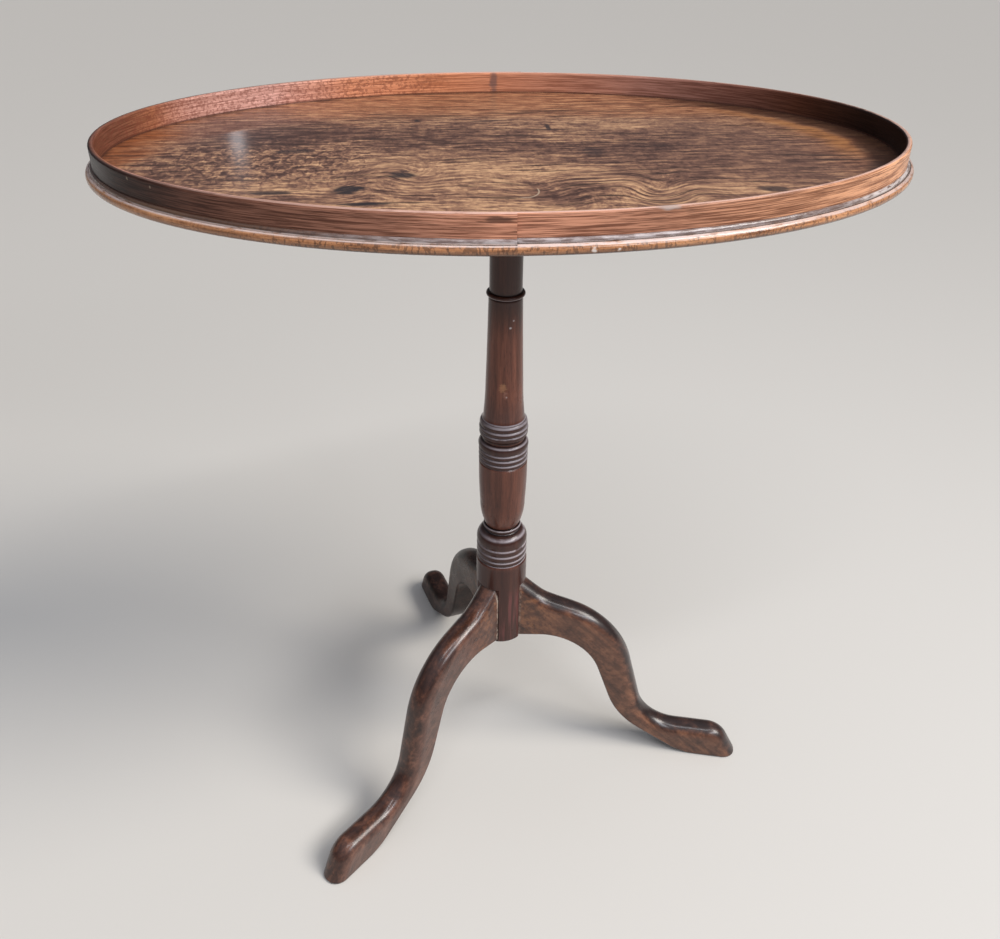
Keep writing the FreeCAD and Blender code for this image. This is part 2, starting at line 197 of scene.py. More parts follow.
def rgb(colour):
    """A colour with full opacity."""
    return (*colour, 1.0)


def new_group(name, inputs, outputs):
    """An empty shader group with its sockets, and its tree, input sockets and output sockets."""
    group = bpy.data.node_groups.new(name, "ShaderNodeTree")
    for label, kind, default in inputs:
        socket = group.interface.new_socket(label, in_out="INPUT", socket_type="NodeSocket" + kind)
        socket.default_value = default
    for label, kind in outputs:
        group.interface.new_socket(label, in_out="OUTPUT", socket_type="NodeSocket" + kind)
    entry = group.nodes.new("NodeGroupInput")
    leave = group.nodes.new("NodeGroupOutput")
    return group, Tree(group), entry.outputs, leave.inputs


def make_long_grain():
    """Wood grain in a space whose X runs along the fibres: colour streaks, fine fibres and dark pores."""
    group, t, given, out = new_group(
        "long_grain",
        [("Vector", "Vector", (0, 0, 0)), ("Streak Length", "Float", 0.12), ("Streak Width", "Float", 0.01),
         ("Wander", "Float", 0.01), ("Pore Length", "Float", 0.006), ("Pore Width", "Float", 0.0007)],
        [("Streaks", "Float"), ("Fibres", "Float"), ("Pores", "Float")])
    space = given["Vector"]
    drift = t.long_noise(space, 5.0, 14.0, detail=2.0)
    shift = t.times(t.centred(drift), given["Wander"])
    bent = t.vector("ADD", space, t.combine(0.0, shift, shift))
    streak_size = t.combine(given["Streak Length"], given["Streak Width"], given["Streak Width"])
    streak_space = t.vector("DIVIDE", bent, streak_size)
    t.feed(out["Streaks"], t.noise(streak_space, detail=4.0, roughness=0.62))
    t.feed(out["Fibres"], t.long_noise(streak_space, 3.0, 9.0, roughness=0.6))
    pore_size = t.combine(given["Pore Length"], given["Pore Width"], given["Pore Width"])
    pores = t.noise(t.vector("DIVIDE", bent, pore_size), detail=1.0)
    t.feed(out["Pores"], t.smooth(pores, 0.56, 0.72))
    return group


def make_grain_bend():
    """Turns the grain round a centre, as it runs round a knot."""
    group, t, given, out = new_group(
        "grain_bend",
        [("Vector", "Vector", (0, 0, 0)), ("Centre", "Vector", (0, 0, 0)),
         ("Size", "Vector", (0.05, 0.05, 1)), ("Turn", "Float", 1.0)],
        [("Vector", "Vector")])
    away = t.vector("DIVIDE", t.vector("SUBTRACT", given["Vector"], given["Centre"]), given["Size"])
    fade = t.math("POWER", math.e, t.times(t.vector("DOT_PRODUCT", away, away), -1.0))
    turn = {"Vector": given["Vector"], "Center": given["Centre"], "Angle": t.times(fade, given["Turn"])}
    t.feed(out["Vector"], t.node("VectorRotate", turn, rotation_type="Z_AXIS").outputs[0])
    return group


def make_soft_patch():
    """A ragged oval patch, one in its middle and zero outside."""
    group, t, given, out = new_group(
        "soft_patch",
        [("Vector", "Vector", (0, 0, 0)), ("Centre", "Vector", (0, 0, 0)),
         ("Size", "Vector", (0.02, 0.02, 1)), ("Ragged", "Float", 0.5), ("Grain", "Float", 90.0),
         ("Core", "Float", 0.35)],
        [("Mask", "Float")])
    away = t.vector("DIVIDE", t.vector("SUBTRACT", given["Vector"], given["Centre"]), given["Size"])
    rough = t.long_noise(given["Vector"], 0.4, 1.0, scale=given["Grain"])
    distance = t.math("ADD", t.vector("LENGTH", away), t.times(t.centred(rough), given["Ragged"]))
    t.feed(out["Mask"], t.smooth(distance, 1.0, given["Core"]))
    return group


def make_worn_edges():
    """Where corners are rubbed: one along convex edges, broken up by patches."""
    group, t, given, out = new_group(
        "worn_edges",
        [("Radius", "Float", 0.002), ("Patch Scale", "Float", 40.0), ("Reach", "Float", 0.5)],
        [("Mask", "Float")])
    rounded = t.node("Bevel", {"Radius": given["Radius"]}, samples=4).outputs[0]
    edge = t.math("SUBTRACT", 1.0, t.vector("DOT_PRODUCT", t.normal(), rounded))
    patches = t.noise(t.object_place(), scale=given["Patch Scale"], detail=4.0)
    t.feed(out["Mask"], t.smooth(t.times(edge, t.times(patches, given["Reach"])), 0.01, 0.09))
    return group


def make_crevice_dirt_and_shade():
    """Mask of hollows, where old wax and dust gather; on the column it also lays painted shade in the
    grooves.
    """
    group, t, given, out = new_group(
        "crevice_dirt_and_shade",
        [("Depth", "Float", 0.006), ("Reach", "Float", 1.0)],
        [("Mask", "Float")])
    open_share = t.node("AmbientOcclusion", {"Distance": given["Depth"]}, samples=6).outputs["AO"]
    closed = t.times(t.math("SUBTRACT", 1.0, open_share), given["Reach"])
    patches = t.noise(t.object_place(), scale=120.0)
    t.feed(out["Mask"], t.smooth(t.weighted((closed, 1.0), (patches, 0.25)), 0.45, 0.95))
    return group


def make_waxed_surface():
    """Roughness and relief of an old wax finish: dull smears, fine scuffs and open pores."""
    group, t, given, out = new_group(
        "waxed_surface",
        [("Vector", "Vector", (0, 0, 0)), ("Pores", "Float", 0.0), ("Fibres", "Float", 0.5),
         ("Smooth", "Float", 0.24), ("Dull", "Float", 0.42)],
        [("Roughness", "Float"), ("Height", "Float")])
    smear = t.noise(given["Vector"], scale=14.0, detail=5.0, roughness=0.65)
    scuff = t.long_noise(given["Vector"], 220.0, 900.0, detail=2.0)
    level = t.weighted((smear, 0.8), (scuff, 0.25))
    t.feed(out["Roughness"], t.smooth(level, 0.3, 0.75, given["Smooth"], given["Dull"]))
    ripple = t.noise(given["Vector"], scale=60.0, detail=2.0)
    t.feed(out["Height"], t.weighted((ripple, 0.6), (given["Pores"], -0.5), (given["Fibres"], 0.25)))
    return group


LONG_GRAIN = make_long_grain()
GRAIN_BEND = make_grain_bend()
SOFT_PATCH = make_soft_patch()
WORN_EDGES = make_worn_edges()
CREVICE_DIRT_AND_SHADE = make_crevice_dirt_and_shade()
WAXED_SURFACE = make_waxed_surface()


def patch(t, place, centre, size, ragged, grain, core=0.35):
    """Mask of one ragged patch."""
    return t.place(SOFT_PATCH, Vector=place, Centre=centre, Size=size,
                   Ragged=ragged, Grain=grain, Core=core)["Mask"]


def crevice_dirt_and_shade(t, depth, reach):
    """Mask of the dirt in hollows, which on the column is also painted shade."""
    return t.place(CREVICE_DIRT_AND_SHADE, Depth=depth, Reach=reach)["Mask"]


def worn_edges(t, radius, patch_scale, reach):
    """Mask of the rubbed corners."""
    return t.place(WORN_EDGES, Radius=radius, Patch_Scale=patch_scale, Reach=reach)["Mask"]


def new_material(name):
    material = bpy.data.materials.new(name)
    material.use_nodes = True
    material.node_tree.nodes.clear()
    return material, Tree(material.node_tree)


def finish_wood(t, colour, roughness, height, coat, relief, coat_roughness=0.14, gloss=0.25):
    """The wood's shader: a waxed surface with a thin coat of polish."""
    bump = t.node("Bump", {"Height": height, "Distance": relief, "Strength": 1.0})
    t.show(t.node("BsdfPrincipled", {
        "Base Color": colour, "Roughness": roughness, "Normal": bump.outputs[0],
        "Coat Weight": coat, "Coat Roughness": coat_roughness, "Specular IOR Level": gloss}))


# Figure of the board. Centres and half sizes are in metres on the board's top.
# Bends of the grain: centre, half size and turn in radians
GRAIN_BENDS = [
    ((0.092, -0.106), (0.022, 0.036), 1.0),
    ((0.122, -0.128), (0.020, 0.034), -0.8),
    ((0.030, -0.108), (0.030, 0.040), -0.7),
    ((-0.088, -0.064), (0.020, 0.034), 0.9),
    ((-0.129, -0.099), (0.024, 0.034), -0.6),
]
# Regions: centre, half size and how much goldener or, below zero, darker they are
REGIONS = [
    ((-0.010, -0.075), (0.120, 0.065), 0.055),
    ((-0.070, -0.145), (0.150, 0.035), 0.060),
    ((0.060, 0.080), (0.140, 0.035), 0.045),
    ((0.100, -0.120), (0.050, 0.050), 0.040),
    ((0.175, -0.104), (0.042, 0.028), 0.085),
    ((-0.170, -0.090), (0.070, 0.026), 0.060),
    ((-0.100, 0.045), (0.200, 0.050), -0.065),
    ((0.040, 0.005), (0.130, 0.028), -0.065),
    ((0.030, -0.110), (0.048, 0.042), -0.090),
    ((0.180, -0.030), (0.170, 0.110), -0.075),
    # This region by the right end is darker as painted shadow of the gallery.
    ((0.300, -0.010), (0.050, 0.090), -0.070),
    ((-0.225, -0.020), (0.110, 0.080), -0.055),
    ((-0.200, 0.075), (0.120, 0.045), -0.050),
    ((0.140, 0.030), (0.120, 0.040), -0.030),
    ((-0.290, -0.060), (0.060, 0.050), -0.050),
]
# Stains: centre, half size and strength
STAINS = [
    ((-0.129, -0.099), (0.017, 0.014), 0.92),
    ((-0.088, -0.064), (0.013, 0.013), 0.85),
    ((-0.175, 0.006), (0.020, 0.010), 0.55),
    ((0.192, -0.114), (0.014, 0.008), 0.75),
    ((-0.074, 0.099), (0.006, 0.008), 0.85),
    ((0.043, 0.072), (0.003, 0.014), 0.85),
    ((0.070, -0.006), (0.013, 0.013), 0.45),
    ((-0.116, -0.132), (0.028, 0.004), 0.90),
    ((-0.186, -0.103), (0.018, 0.005), 0.80),
    ((-0.110, 0.125), (0.010, 0.005), 0.60),
    ((-0.013, 0.095), (0.016, 0.004), 0.50),
]
BURR = ((-0.200, -0.030), (0.130, 0.090))
# The purple patch is partly the wood's tone and partly a painted lilac sheen.
PURPLE_SHEEN_PATCH = ((-0.230, 0.078), (0.100, 0.085))
SCRATCH_CENTRE = (0.000, -0.108)
SCRATCH_SIZE = (0.012, 0.016)
# Where the figure calms down towards the right, and where the wood turns redder towards the edges
CALM_SPAN = (0.060, 0.180)
CALM_LEVEL = 0.47
BACK_SPAN = (0.085, 0.140)
LEFT_SPAN = (-0.268, -0.312)
LEFT_FROM_FRONT = (-0.06, 0.02)
RIGHT_SPAN = (0.230, 0.300)
FAR_LINE_SPAN = (0.075, 0.115)
# Shares of the way out to the board's edge, where a painted crescent of light lies near the right end and
# where a painted shadow of the gallery lies beside it
LIGHT_CRESCENT_RING = (0.82, 0.88, 0.895, 0.925)
LIGHT_CRESCENT_FROM_LEFT = (0.185, 0.255)
LIGHT_CRESCENT_FROM_FRONT = (-0.055, 0.010)
GALLERY_SHADOW_RING = (0.895, 0.940)
GALLERY_SHADOW_FROM_LEFT = (0.130, 0.230)
# Heights between which the polished edge turns into the dry underside
UNDERSIDE_SPAN = (BOARD_TOP - 0.002, BOARD_TOP - 0.004)
DRY_ROUGHNESS = 0.75
BOARD_POLISH = 0.45
BOARD_TONES = [
    (0.34, (0.062, 0.027, 0.019)), (0.45, (0.175, 0.085, 0.056)),
    (0.54, (0.345, 0.182, 0.104)), (0.66, (0.640, 0.375, 0.205)),
]
RED_TONES = [(0.30, (0.120, 0.042, 0.020)), (0.50, (0.300, 0.122, 0.058)), (0.70, (0.520, 0.250, 0.120))]
DRY_TONES = [(0.32, (0.055, 0.028, 0.018)), (0.50, (0.100, 0.053, 0.033)), (0.68, (0.160, 0.090, 0.056))]
LEFT_ORANGE = (0.440, 0.140, 0.036)
LEFT_SHADE = (0.66, 0.56, 0.52)
PURPLE_SHEEN_TINT = (0.60, 0.62, 0.73)
DARK_LINE = (0.034, 0.016, 0.012)
FAR_LINE = (0.060, 0.024, 0.016)
PAINTED_LIGHT_CRESCENT = (0.400, 0.165, 0.050)
PAINTED_GALLERY_SHADOW = (0.032, 0.013, 0.008)
BOARD_PORE = (0.030, 0.014, 0.009)
STAIN_DARK = (0.012, 0.011, 0.015)
SCRATCH_PALE = (0.620, 0.500, 0.360)
BOARD_DIRT = (0.020, 0.011, 0.009)


def on_board(pair):
    """A point of the board's top."""
    return (*pair, BOARD_TOP)


def flat_size(pair):
    """Half sizes along the board, the same at every height."""
    return (*pair, 1.0)


def board_patch(t, place, centre, size, ragged, grain, core=0.35):
    """Mask of a ragged patch on the board's top."""
    return patch(t, place, on_board(centre), flat_size(size), ragged, grain, core)


def figure_level(t, place, x, streaks, broad, fleck, fine):
    """How dark or golden the figure is, flecked in the burr and streaky elsewhere."""
    burr = board_patch(t, place, *BURR, ragged=0.5, grain=14.0)
    streaky = t.weighted((streaks, 0.48), (broad, 0.22), (fleck, 0.30))
    level = t.blend(streaky, t.weighted((fleck, 0.75), (streaks, 0.25)), burr)
    for centre, size, amount in REGIONS:
        region = board_patch(t, place, centre, size, ragged=0.8, grain=22.0)
        level = t.math("MULTIPLY_ADD", region, amount, level)
    level = t.math("MULTIPLY_ADD", t.centred(fine), 0.17, level)
    return t.blend(level, CALM_LEVEL, t.smooth(x, *CALM_SPAN, 0.0, 0.32))


def redden_edges(t, place, colour, x, y, streaks, broad, fine):
    """Redder wood along the back and both ends, an orange left end, and beside it a purple patch, partly the
    wood's tone and partly a painted lilac sheen.
    """
    red_wood = t.ramp(t.weighted((streaks, 0.7), (fine, 0.3)), RED_TONES)
    uneven = t.times(t.centred(broad), 0.10)
    uneven_x = t.math("ADD", x, uneven)
    back = t.smooth(t.math("ADD", y, uneven), *BACK_SPAN)
    left = t.times(t.smooth(uneven_x, *LEFT_SPAN), t.smooth(y, *LEFT_FROM_FRONT, 0.35, 1.0))
    right = t.smooth(uneven_x, *RIGHT_SPAN)
    redder = t.math("MAXIMUM", t.times(back, 0.75), t.times(left, 0.90))
    redder = t.math("MAXIMUM", redder, t.times(right, 0.55))
    colour = t.mix(redder, colour, red_wood)
    colour = t.lay(colour, t.times(left, t.smooth(streaks, 0.38, 0.62)), 0.50, LEFT_ORANGE)
    colour = t.shade_where(colour, left, 0.85, LEFT_SHADE)
    # A purple patch, partly the wood's tone and partly a painted lilac sheen.
    purple = board_patch(t, place, *PURPLE_SHEEN_PATCH, ragged=0.5, grain=20.0, core=0.2)
    return t.shade_where(colour, purple, 0.85, PURPLE_SHEEN_TINT)


def draw_lines(t, place, space, colour, y):
    """Thin dark lines along the grain, and longer ones at the back."""
    line = t.long_noise(space, 13.0, 190.0, roughness=0.6)
    colour = t.lay(colour, t.smooth(line, 0.58, 0.65), 0.80, DARK_LINE)
    far_line = t.long_noise(place, 7.0, 120.0, detail=2.0, roughness=0.6)
    far_line = t.times(t.smooth(far_line, 0.56, 0.62), t.smooth(y, *FAR_LINE_SPAN))
    return t.lay(colour, far_line, 0.60, FAR_LINE)


def strip_right_end_light_and_shadow(t, colour, x, y, streaks, broad, fine):
    """A painted crescent of light near the right end, and a painted shadow of the gallery between it and the
    gallery wall.
    """
    outwards = t.vector("LENGTH", t.combine(t.math("DIVIDE", x, BOARD_A), t.math("DIVIDE", y, BOARD_B)))
    shaken = t.math("MULTIPLY_ADD", t.centred(broad), 0.06, outwards)
    figure = t.smooth(t.weighted((streaks, 0.6), (fine, 0.4)), 0.25, 0.60, 0.35, 1.0)
    # A painted crescent of light near the right end.
    painted_light = t.times(t.span(shaken, *LIGHT_CRESCENT_RING), t.smooth(x, *LIGHT_CRESCENT_FROM_LEFT),
                   t.smooth(y, *LIGHT_CRESCENT_FROM_FRONT), figure)
    colour = t.lay(colour, painted_light, 0.62, PAINTED_LIGHT_CRESCENT)
    # Painted shadow of the gallery between the crescent and the gallery wall.
    gallery_shadow = t.times(t.smooth(shaken, *GALLERY_SHADOW_RING), t.smooth(x, *GALLERY_SHADOW_FROM_LEFT))
    return t.lay(colour, gallery_shadow, 0.82, PAINTED_GALLERY_SHADOW)


def board_figure(t, place):
    """The board's colour before stains: gold streaks in purple-brown wood, a burr, redder edges, a purple
    patch that is partly a painted lilac sheen, and painted light and shadow at the right end.
    """
    space = place
    for centre, size, turn in GRAIN_BENDS:
        bend = t.place(GRAIN_BEND, Vector=space, Centre=on_board(centre), Size=flat_size(size), Turn=turn)
        space = bend["Vector"]
    grain = t.place(LONG_GRAIN, Vector=space, Streak_Length=0.030, Streak_Width=0.0048, Wander=0.02,
                    Pore_Length=0.008, Pore_Width=0.0012)
    streaks = grain["Streaks"]
    broad = t.long_noise(space, 6.0, 28.0)
    fleck = t.long_noise(space, 190.0, 125.0, detail=2.0, distortion=0.9)
    fine = t.smooth(t.long_noise(space, 45.0, 230.0, roughness=0.65), 0.32, 0.68)
    x, y = t.axes(place)[:2]
    colour = t.ramp(figure_level(t, place, x, streaks, broad, fleck, fine), BOARD_TONES)
    colour = redden_edges(t, place, colour, x, y, streaks, broad, fine)
    colour = draw_lines(t, place, space, colour, y)
    colour = strip_right_end_light_and_shadow(t, colour, x, y, streaks, broad, fine)
    colour = t.lay(colour, grain["Pores"], 0.35, BOARD_PORE)
    return colour, grain["Pores"], fine


def scratch_mask(t, place):
    """One side of a thin oval ring."""
    away = t.vector("DIVIDE", t.vector("SUBTRACT", place, on_board(SCRATCH_CENTRE)), flat_size(SCRATCH_SIZE))
    ring = t.smooth(t.math("ABSOLUTE", t.math("SUBTRACT", t.vector("LENGTH", away), 1.0)), 0.07, 0.02)
    right, back = t.axes(away)[:2]
    return t.times(ring, t.smooth(t.math("SUBTRACT", right, back), 0.5, 0.9))


def board_material():
    """Figured board with old dark stains, a pale scratch, dirt along the gallery and a worn polish."""
    material, t = new_material("figured_board")
    place = t.object_place()
    colour, pores, fine = board_figure(t, place)
    for centre, size, amount in STAINS:
        stain = board_patch(t, place, centre, size, ragged=1.9, grain=95.0, core=0.45)
        colour = t.lay(colour, stain, amount, STAIN_DARK)
    colour = t.lay(colour, scratch_mask(t, place), 0.50, SCRATCH_PALE)
    colour = t.lay(colour, crevice_dirt_and_shade(t, depth=0.008, reach=1.1), 0.85, BOARD_DIRT)
    under = t.smooth(t.axes(place)[2], *UNDERSIDE_SPAN)
    dry = t.place(LONG_GRAIN, Vector=place, Streak_Length=0.16, Streak_Width=0.009, Wander=0.02)
    colour = t.mix(under, colour, t.ramp(dry["Streaks"], DRY_TONES))
    wax = t.place(WAXED_SURFACE, Vector=place, Pores=pores, Fibres=fine, Smooth=0.30, Dull=0.48)
    roughness = t.blend(wax["Roughness"], DRY_ROUGHNESS, under)
    coat = t.smooth(under, 0.0, 1.0, BOARD_POLISH, 0.0)
    finish_wood(t, colour, roughness, wax["Height"], coat, relief=0.00006, coat_roughness=0.12)
    return material


def wrapped_space(t, place, facing):
    """Grain space round the oval, and the share of the way out to the board's edge.

    X runs along the band, Y up and Z outwards. The seam is opposite the facing side.
    """
    x, y, z = t.axes(place)
    across = t.math("DIVIDE", t.times(y, facing), BOARD_B)
    along = t.math("DIVIDE", t.times(x, facing), BOARD_A)
    turn = t.math("ARCTAN2", across, along)
    outwards = t.vector("LENGTH", t.combine(across, along))
    mean_radius = (BOARD_A + BOARD_B) / 2
    return t.combine(t.times(turn, mean_radius), z, t.times(outwards, mean_radius)), outwards


# Tones along the gallery from its left end to its right end, with painted light and shade in them: inside, a
# pale pink painted highlight near the left end and painted shade almost black at the right end;
# outside, painted shade almost black at the left end. And how pale its top edge is, partly rubbed wear and
# partly a painted highlight
INSIDE_TONES_AND_PAINTED_LIGHT = [
    (0.01, (0.150, 0.060, 0.036)), (0.04, (0.290, 0.112, 0.058)), (0.08, (0.480, 0.250, 0.200)),
    (0.18, (0.590, 0.330, 0.280)), (0.29, (0.560, 0.240, 0.135)), (0.42, (0.540, 0.215, 0.108)),
    (0.58, (0.430, 0.190, 0.118)), (0.74, (0.290, 0.142, 0.108)), (0.85, (0.190, 0.082, 0.060)),
    (0.93, (0.090, 0.032, 0.018)), (0.99, (0.018, 0.008, 0.006)),
]
OUTSIDE_TONES_AND_PAINTED_LIGHT = [
    (0.02, (0.016, 0.006, 0.005)), (0.09, (0.046, 0.019, 0.013)), (0.18, (0.150, 0.064, 0.042)),
    (0.34, (0.270, 0.122, 0.080)), (0.46, (0.490, 0.225, 0.142)), (0.62, (0.340, 0.158, 0.098)),
    (0.78, (0.410, 0.198, 0.112)), (0.95, (0.540, 0.275, 0.155)),
]
RIM_WEAR_AND_HIGHLIGHT_SHARE = [
    (0.06, (0.05, 0.05, 0.05)), (0.24, (0.42, 0.42, 0.42)),
    (0.45, (0.90, 0.90, 0.90)), (0.95, (0.60, 0.60, 0.60)),
]
# Shares of the way out between which the inside of the gallery turns into its outside
OUTSIDE_SPAN = (1.005, 1.012)
# What the dark and the light streaks multiply the wood by
INSIDE_DEEP = (0.74, 0.64, 0.60)
OUTSIDE_DEEP_LEFT = (0.44, 0.36, 0.33)
OUTSIDE_DEEP_RIGHT = (0.52, 0.44, 0.41)
OUTSIDE_DEEP_SPAN = (0.10, 0.30)
STREAK_LIGHT = (1.36, 1.36, 1.34)
# Stains at the laps: centre, half size and colour
JOINT_STAINS = [
    ((-0.029, -0.216, RIM_TOP - 0.004), (0.014, 0.020, 0.003), (0.020, 0.010, 0.009)),
    ((0.0062, 0.208, RIM_TOP - 0.009), (0.0052, 0.020, 0.018), (0.110, 0.080, 0.082)),
]
# Pale crumbs: centre and half size
BAND_CRUMBS = [((-0.2822, -0.1142, 0.7068), 0.0015), ((-0.2631, -0.1316, 0.7056), 0.0013)]
RIM_CHIP = ((0.087, -0.207, RIM_TOP), (0.012, 0.012, 0.003))
SPECKED_SPAN = (-0.02, -0.08)
BAND_FOOT_SPAN = (BOARD_TOP + 0.0016, BOARD_TOP + 0.0008)
TOP_EDGE_SPAN = (RIM_TOP - 0.00025, RIM_TOP - 0.00005)
DULL_RIM_FROM_LEFT = (0.06, 0.16)
DULL_RIM_FROM_FRONT = (0.0, 0.08)
SPECK_RED = (0.170, 0.048, 0.030)
BAND_PORE = (0.045, 0.016, 0.010)
BAND_DIRT = (0.026, 0.013, 0.010)
BAND_FOOT_DARK = (0.070, 0.028, 0.020)
CRUMB_PALE = (0.380, 0.290, 0.210)
RIM_WEAR_AND_HIGHLIGHT = (0.760, 0.500, 0.410)
RIM_CHIPPED = (0.360, 0.300, 0.270)


def band_material(name, facing):
    """Bentwood band: grain along the bend, a specked reddish inside, a browner outside, painted light and
    shade along its length, and a top edge rubbed and painted with a highlight.
    """
    material, t = new_material(name)
    place = t.object_place()
    space, outwards = wrapped_space(t, place, facing)
    x, y, z = t.axes(place)
    share = t.math("MULTIPLY_ADD", x, 0.5 / BOARD_A, 0.5)
    outer = t.smooth(outwards, *OUTSIDE_SPAN)
    inner = t.math("SUBTRACT", 1.0, outer)
    grain = t.place(LONG_GRAIN, Vector=space, Streak_Length=0.06, Streak_Width=0.0012, Wander=0.004,
                    Pore_Length=0.016, Pore_Width=0.0007)
    thin = t.long_noise(space, 34.0, 1250.0, detail=2.0)
    streak = t.smooth(t.weighted((grain["Streaks"], 0.55), (thin, 0.45)), 0.41, 0.59)
    # The tones along the gallery carry painted light and shade.
    body = t.mix(outer, t.ramp(share, INSIDE_TONES_AND_PAINTED_LIGHT), t.ramp(share, OUTSIDE_TONES_AND_PAINTED_LIGHT))
    deep_outside = t.mix(t.smooth(x, *OUTSIDE_DEEP_SPAN), rgb(OUTSIDE_DEEP_LEFT), rgb(OUTSIDE_DEEP_RIGHT))
    deep = t.mix(outer, rgb(INSIDE_DEEP), deep_outside)
    colour = t.mix(streak, t.shade(body, deep), t.shade(body, rgb(STREAK_LIGHT)))
    speck = t.noise(space, scale=430.0, detail=1.0)
    specked = t.times(t.smooth(speck, 0.46, 0.60), inner, t.smooth(x, *SPECKED_SPAN))
    colour = t.lay(colour, specked, 0.50, SPECK_RED)
    pores = t.times(grain["Pores"], t.math("MULTIPLY_ADD", inner, -0.5, 1.0))
    colour = t.lay(colour, pores, 0.55, BAND_PORE)
    for centre, size, paint in JOINT_STAINS:
        colour = t.lay(colour, patch(t, place, centre, size, ragged=1.3, grain=160.0), 0.65, paint)
    colour = t.lay(colour, crevice_dirt_and_shade(t, depth=0.007, reach=1.0), 0.75, BAND_DIRT)
    colour = t.lay(colour, t.times(inner, t.smooth(z, *BAND_FOOT_SPAN)), 0.70, BAND_FOOT_DARK)
    for centre, size in BAND_CRUMBS:
        crumb = patch(t, place, centre, (size, size, size), ragged=1.6, grain=700.0)
        colour = t.lay(colour, crumb, 0.50, CRUMB_PALE)
    # The pale line on the top edge is partly rubbed wear and partly a painted highlight, dimmer at the back
    # right.
    dull_rim = t.times(t.smooth(x, *DULL_RIM_FROM_LEFT), t.smooth(y, *DULL_RIM_FROM_FRONT))
    rubbed = t.times(t.smooth(z, *TOP_EDGE_SPAN), t.ramp(share, RIM_WEAR_AND_HIGHLIGHT_SHARE),
                     t.math("MULTIPLY_ADD", dull_rim, -0.7, 1.0),
                     t.smooth(t.noise(space, scale=60.0, detail=4.0), 0.20, 0.48))
    colour = t.lay(colour, rubbed, 0.9, RIM_WEAR_AND_HIGHLIGHT)
    colour = t.lay(colour, patch(t, place, *RIM_CHIP, ragged=1.2, grain=240.0), 0.7, RIM_CHIPPED)
    wax = t.place(WAXED_SURFACE, Vector=space, Pores=grain["Pores"], Fibres=streak, Smooth=0.28, Dull=0.46)
    finish_wood(t, colour, wax["Roughness"], wax["Height"], coat=0.08, relief=0.00012, gloss=0.16)
    return material


# Tones of the bead's wood, and pale chips on it with their centre and half size
BEAD_TONES = [(0.32, (0.100, 0.038, 0.018)), (0.48, (0.390, 0.170, 0.074)), (0.66, (0.640, 0.320, 0.155))]
BEAD_CHIPS = [
    ((-0.2768, -0.1250, 0.6970), 0.0016),
    ((0.0347, -0.2178, 0.6860), 0.0024),
    ((0.0516, -0.2163, 0.6858), 0.0018),
]
# Heights on the bead
STRIP_SPAN = (BEAD_CROWN, BEAD_CROWN + 0.0006)
CROWN_FOOT_LEFT = BEAD_CROWN - 0.0015
CROWN_FOOT_RIGHT = BEAD_CROWN - 0.0019
CROWN_RISE = 0.0010
CROWN_END_SPAN = (BEAD_CROWN + 0.0009, BEAD_CROWN + 0.0003)
BEAD_SHADE_SPAN = (BEAD_LOW + 0.0042, BEAD_LOW + 0.0010)
# Stretches along the bead
TICKED_FROM_LEFT = (-0.235, -0.190)
STRIP_FROM_LEFT = (-0.200, -0.020)
STRIP_FADE_SPAN = (0.080, 0.170)
CROWN_FOOT_SPAN = (-0.02, 0.10)
CROWN_FADE_SPAN = (0.10, 0.20)
RUBBED_END_FROM_LEFT = (0.22, 0.27)
RUBBED_END_FROM_BACK = (0.05, -0.05)
BEAD_SHADE_FROM_LEFT = (-0.25, -0.10)
BEAD_DIRT_FROM_LEFT = (-0.20, -0.02)
TICK_DARK = (0.050, 0.020, 0.012)
BEAD_PORE = (0.040, 0.016, 0.010)
STRIP_DARK = (0.052, 0.030, 0.024)
STRIP_WORN_AND_SHEEN = (0.200, 0.145, 0.135)
STRIP_PALE = (0.490, 0.430, 0.425)
CROWN_WEAR_AND_HIGHLIGHT = (0.740, 0.620, 0.580)
RUBBED_END_PALE = (0.640, 0.575, 0.545)
BEAD_UNDERSIDE_PAINTED_SHADE = (0.045, 0.020, 0.013)
BEAD_DIRT = (0.022, 0.012, 0.010)
CHIP_PALE = (0.800, 0.740, 0.690)


def strip_wear_and_painted_light(t, colour, space, x, y, z):
    """The bead's strip against the band and its crown: the strip dark as painted shade at the left and pale
    elsewhere with wear and a painted sheen, the crown pale with wear and a painted highlight, and a pale
    rubbed right end.
    """
    worn = t.long_noise(space, 90.0, 400.0, detail=5.0, roughness=0.65)
    strip = t.smooth(z, *STRIP_SPAN)
    sheen_side = t.times(t.smooth(x, *STRIP_FROM_LEFT), t.smooth(x, *STRIP_FADE_SPAN, 1.0, 0.45))
    # The strip is laid dark; at the left end this stays as painted shade, elsewhere wear and a painted sheen
    # cover it.
    colour = t.lay(colour, strip, 0.85, STRIP_DARK)
    colour = t.lay(colour, t.times(strip, sheen_side), 0.85, STRIP_WORN_AND_SHEEN)
    colour = t.lay(colour, t.times(strip, sheen_side, t.smooth(worn, 0.42, 0.60)), 0.75, STRIP_PALE)
    # The pale crown is a painted highlight over wear.
    crown_foot = t.smooth(x, *CROWN_FOOT_SPAN, CROWN_FOOT_LEFT, CROWN_FOOT_RIGHT)
    crown = t.times(t.smooth(z, crown_foot, t.math("ADD", crown_foot, CROWN_RISE)),
                    t.smooth(z, *CROWN_END_SPAN), t.smooth(worn, 0.30, 0.50),
                    t.smooth(x, *CROWN_FADE_SPAN, 1.0, 0.70))
    colour = t.lay(colour, crown, 0.74, CROWN_WEAR_AND_HIGHLIGHT)
    rubbed = t.times(t.smooth(x, *RUBBED_END_FROM_LEFT), t.smooth(y, *RUBBED_END_FROM_BACK),
                     strip, t.smooth(worn, 0.34, 0.58))
    return t.lay(colour, rubbed, 0.75, RUBBED_END_PALE)


